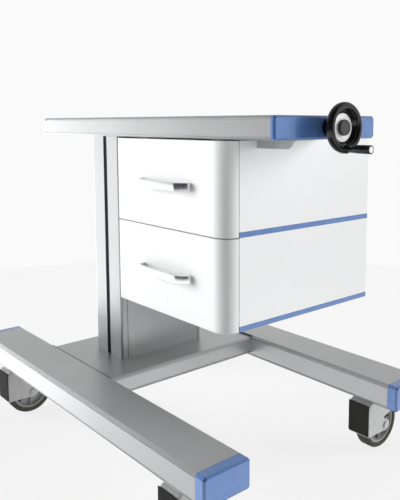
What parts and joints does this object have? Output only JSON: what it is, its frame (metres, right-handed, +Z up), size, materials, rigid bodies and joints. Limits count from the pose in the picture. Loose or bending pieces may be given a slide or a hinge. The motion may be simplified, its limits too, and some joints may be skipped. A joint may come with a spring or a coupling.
{
  "type": "bedside cabinet stand",
  "caption": "White two-drawer bedside cabinet hung beside a column under an aluminium worktop on an H-shaped castor base, with a handwheel.",
  "frame": {"origin": "middle of the whole stand's box, on the floor", "axes": "+Z up, +X to the right along the drawer fronts, drawers open towards -Y"},
  "size_m": [1.086, 0.719, 0.8468],
  "materials": {
    "anodised_aluminium": "satin anodised, fine lines along the profile",
    "milled_aluminium": "milled",
    "blue_plastic": "moulded, fairly glossy",
    "white_plastic": "fine moulded texture",
    "white_gloss": "white gloss lacquer",
    "white_board": "white melamine-faced board",
    "satin_chrome": "satin chrome",
    "zinc_steel": "zinc plated",
    "black_plastic": "fine moulded texture",
    "black_gloss": "glossy thermoset",
    "dark_grey_plastic": "fine moulded texture",
    "white_disc": "bright moulded",
    "grey_casting": "grey powder coat",
    "grey_plastic": "moulded hood",
    "castor_tyre": "soft tread on a moulded hub",
    "olive_plastic": "ribbed toe pedal"
  },
  "bodies": {
    "base": {"front_beam": "anodised_aluminium", "rear_beam": "anodised_aluminium", "beam_caps": "blue_plastic", "cross_member": "anodised_aluminium", "corner_blocks": "milled_aluminium", "castor_plates": "zinc_steel", "frame_screws": "zinc_steel", "column": "anodised_aluminium", "column_strips": "black_plastic", "worktop": "anodised_aluminium", "worktop_cap_left": "white_plastic", "worktop_cap_right": "blue_plastic", "spindle_bearings": "black_plastic", "worktop_bracket": "grey_casting", "cabinet_left_side": "white_board", "cabinet_right_side": "white_board", "cabinet_top": "white_board", "cabinet_bottom": "white_board", "cabinet_divider": "white_board", "cabinet_back": "white_board", "side_skin_upper": "white_gloss", "side_skin_lower": "white_gloss", "stripe_upper": "blue_plastic", "stripe_lower": "blue_plastic", "cabinet_hangers": "zinc_steel", "runner_rails": "zinc_steel"},
    "upper_drawer": {"upper_drawer_front": "white_gloss", "upper_drawer_box": "white_plastic", "upper_drawer_handle": "satin_chrome", "upper_drawer_screws": "zinc_steel", "upper_drawer_slides": "zinc_steel"},
    "upper_runner": {"upper_runner_middle": "zinc_steel"},
    "lower_drawer": {"lower_drawer_front": "white_gloss", "lower_drawer_box": "white_plastic", "lower_drawer_handle": "satin_chrome", "lower_drawer_screws": "zinc_steel", "lower_drawer_slides": "zinc_steel"},
    "lower_runner": {"lower_runner_middle": "zinc_steel"},
    "handwheel": {"handwheel_rim": "black_gloss", "handwheel_disc": "white_disc", "handwheel_hub_cap": "dark_grey_plastic", "handwheel_spindle": "zinc_steel", "crank_pin": "zinc_steel"},
    "grip": {"grip_sleeve": "black_gloss", "grip_disc": "white_disc"},
    "slider": {"sliding_block": "milled_aluminium"},
    "castor_fl": {"castor_fl_fork": "grey_plastic"},
    "wheel_fl": {"castor_fl_wheel": "castor_tyre"},
    "pedal_fl": {"castor_fl_pedal": "olive_plastic"},
    "castor_fr": {"castor_fr_fork": "grey_plastic"},
    "wheel_fr": {"castor_fr_wheel": "castor_tyre"},
    "pedal_fr": {"castor_fr_pedal": "olive_plastic"},
    "castor_rl": {"castor_rl_fork": "grey_plastic"},
    "wheel_rl": {"castor_rl_wheel": "castor_tyre"},
    "pedal_rl": {"castor_rl_pedal": "olive_plastic"},
    "castor_rr": {"castor_rr_fork": "grey_plastic"},
    "wheel_rr": {"castor_rr_wheel": "castor_tyre"},
    "pedal_rr": {"castor_rr_pedal": "olive_plastic"}
  },
  "joints": [
    {"name": "upper_drawer_slide", "type": "slide", "parent": "base", "child": "upper_drawer", "axis": [0, -1, 0], "range_m": [0, 0.35]},
    {"name": "upper_runner_slide", "type": "slide", "parent": "base", "child": "upper_runner", "axis": [0, -1, 0], "range_m": [0, 0.175]},
    {"name": "lower_drawer_slide", "type": "slide", "parent": "base", "child": "lower_drawer", "axis": [0, -1, 0], "range_m": [0, 0.35]},
    {"name": "lower_runner_slide", "type": "slide", "parent": "base", "child": "lower_runner", "axis": [0, -1, 0], "range_m": [0, 0.175]},
    {"name": "handwheel_turn", "type": "hinge", "parent": "base", "child": "handwheel", "pos_m": [0.479, -0.0215, 0.79775], "axis": [1, 0, 0], "range_deg": [-14400, 14400]},
    {"name": "grip_spin", "type": "hinge", "parent": "handwheel", "child": "grip", "pos_m": [0.517, -0.0215, 0.75725], "axis": [1, 0, 0], "continuous": true},
    {"name": "slider_travel", "type": "slide", "parent": "base", "child": "slider", "axis": [1, 0, 0], "range_m": [-0.2, 0.2]},
    {"name": "castor_fl_swivel", "type": "hinge", "parent": "base", "child": "castor_fl", "pos_m": [-0.424, -0.3105, 0.14], "axis": [0, 0, 1], "continuous": true},
    {"name": "castor_fl_roll", "type": "hinge", "parent": "castor_fl", "child": "wheel_fl", "pos_m": [-0.424, -0.2805, 0.0625], "axis": [1, 0, 0], "continuous": true},
    {"name": "castor_fl_brake", "type": "hinge", "parent": "castor_fl", "child": "pedal_fl", "pos_m": [-0.424, -0.2425, 0.13], "axis": [-1, 0, 0], "range_deg": [0, 12]},
    {"name": "castor_fr_swivel", "type": "hinge", "parent": "base", "child": "castor_fr", "pos_m": [0.346, -0.3105, 0.14], "axis": [0, 0, 1], "continuous": true},
    {"name": "castor_fr_roll", "type": "hinge", "parent": "castor_fr", "child": "wheel_fr", "pos_m": [0.346, -0.2805, 0.0625], "axis": [1, 0, 0], "continuous": true},
    {"name": "castor_fr_brake", "type": "hinge", "parent": "castor_fr", "child": "pedal_fr", "pos_m": [0.346, -0.2425, 0.13], "axis": [-1, 0, 0], "range_deg": [0, 12]},
    {"name": "castor_rl_swivel", "type": "hinge", "parent": "base", "child": "castor_rl", "pos_m": [-0.424, 0.2595, 0.14], "axis": [0, 0, 1], "continuous": true},
    {"name": "castor_rl_roll", "type": "hinge", "parent": "castor_rl", "child": "wheel_rl", "pos_m": [-0.424, 0.2895, 0.0625], "axis": [1, 0, 0], "continuous": true},
    {"name": "castor_rl_brake", "type": "hinge", "parent": "castor_rl", "child": "pedal_rl", "pos_m": [-0.424, 0.3275, 0.13], "axis": [-1, 0, 0], "range_deg": [0, 12]},
    {"name": "castor_rr_swivel", "type": "hinge", "parent": "base", "child": "castor_rr", "pos_m": [0.346, 0.2595, 0.14], "axis": [0, 0, 1], "continuous": true},
    {"name": "castor_rr_roll", "type": "hinge", "parent": "castor_rr", "child": "wheel_rr", "pos_m": [0.346, 0.2895, 0.0625], "axis": [1, 0, 0], "continuous": true},
    {"name": "castor_rr_brake", "type": "hinge", "parent": "castor_rr", "child": "pedal_rr", "pos_m": [0.346, 0.3275, 0.13], "axis": [-1, 0, 0], "range_deg": [0, 12]}
  ],
  "couplings": [
    {"joint": "upper_runner_slide", "follows": "upper_drawer_slide", "ratio": 0.5},
    {"joint": "lower_runner_slide", "follows": "lower_drawer_slide", "ratio": 0.5},
    {"joint": "slider_travel", "follows": "handwheel_turn", "m_per_rad": 0.00079577}
  ]
}
